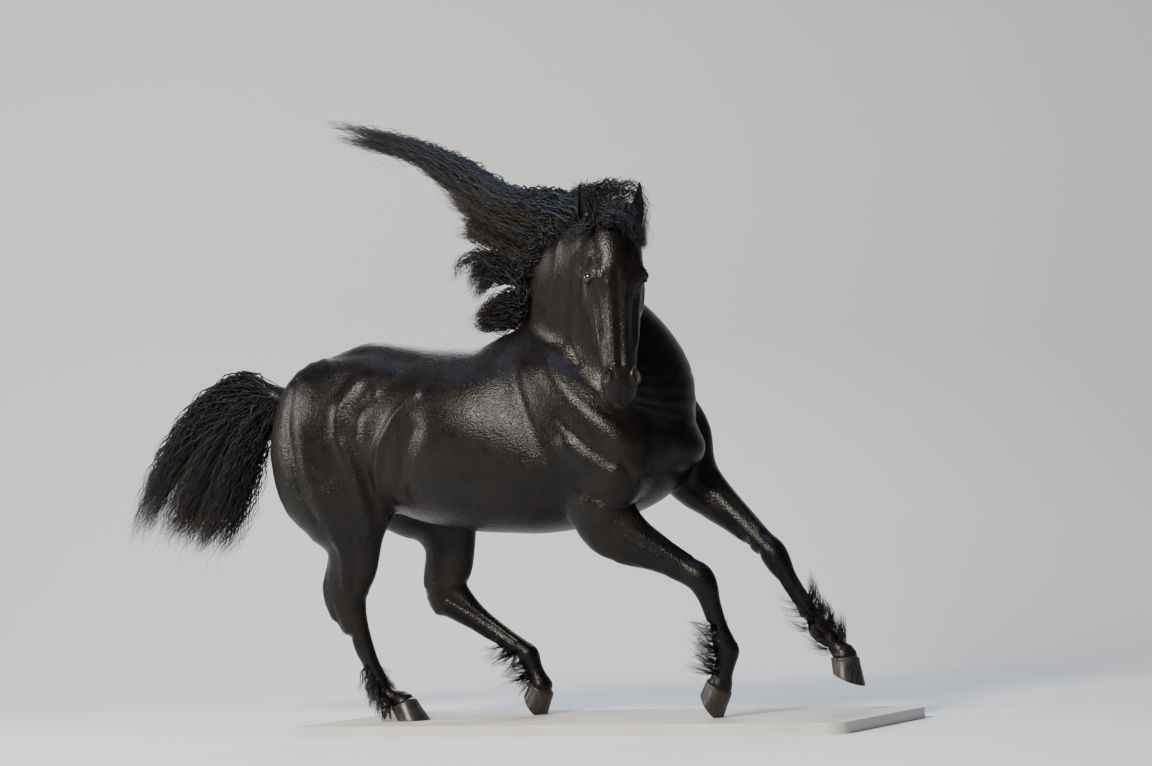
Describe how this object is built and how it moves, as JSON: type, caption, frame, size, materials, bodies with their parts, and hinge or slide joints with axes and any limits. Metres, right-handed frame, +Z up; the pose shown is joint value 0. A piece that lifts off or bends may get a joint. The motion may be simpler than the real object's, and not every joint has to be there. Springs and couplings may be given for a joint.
{
  "type": "friesian horse model",
  "caption": "Life-size still model of a black friesian horse in a canter, head turned to the side, on a flat base.",
  "frame": {"origin": "centre of the stand base's underside", "axes": "+X is the horse's forward, +Y its left, +Z up"},
  "size_m": [3.1673, 0.9569, 2.3169],
  "materials": {
    "coat": "glossy short black coat",
    "hair": "long wavy black hair",
    "hoof": "dark horn with fine growth rings",
    "eye": "wet dark brown",
    "base": "plain pale grey lacquered board"
  },
  "bodies": {
    "root": {"torso": "coat", "neck": "coat", "head": "coat", "tail": "hair", "ear_right": "coat", "ear_left": "coat", "eye_right": "eye", "eye_left": "eye", "foreleg_right_upper": "coat", "foreleg_right_lower": "coat", "foreleg_right_hoof": "hoof", "foreleg_left_upper": "coat", "foreleg_left_lower": "coat", "foreleg_left_hoof": "hoof", "hindleg_right_upper": "coat", "hindleg_right_lower": "coat", "hindleg_right_hoof": "hoof", "hindleg_left_upper": "coat", "hindleg_left_lower": "coat", "hindleg_left_hoof": "hoof", "stand_base": "base"}
  },
  "joints": []
}
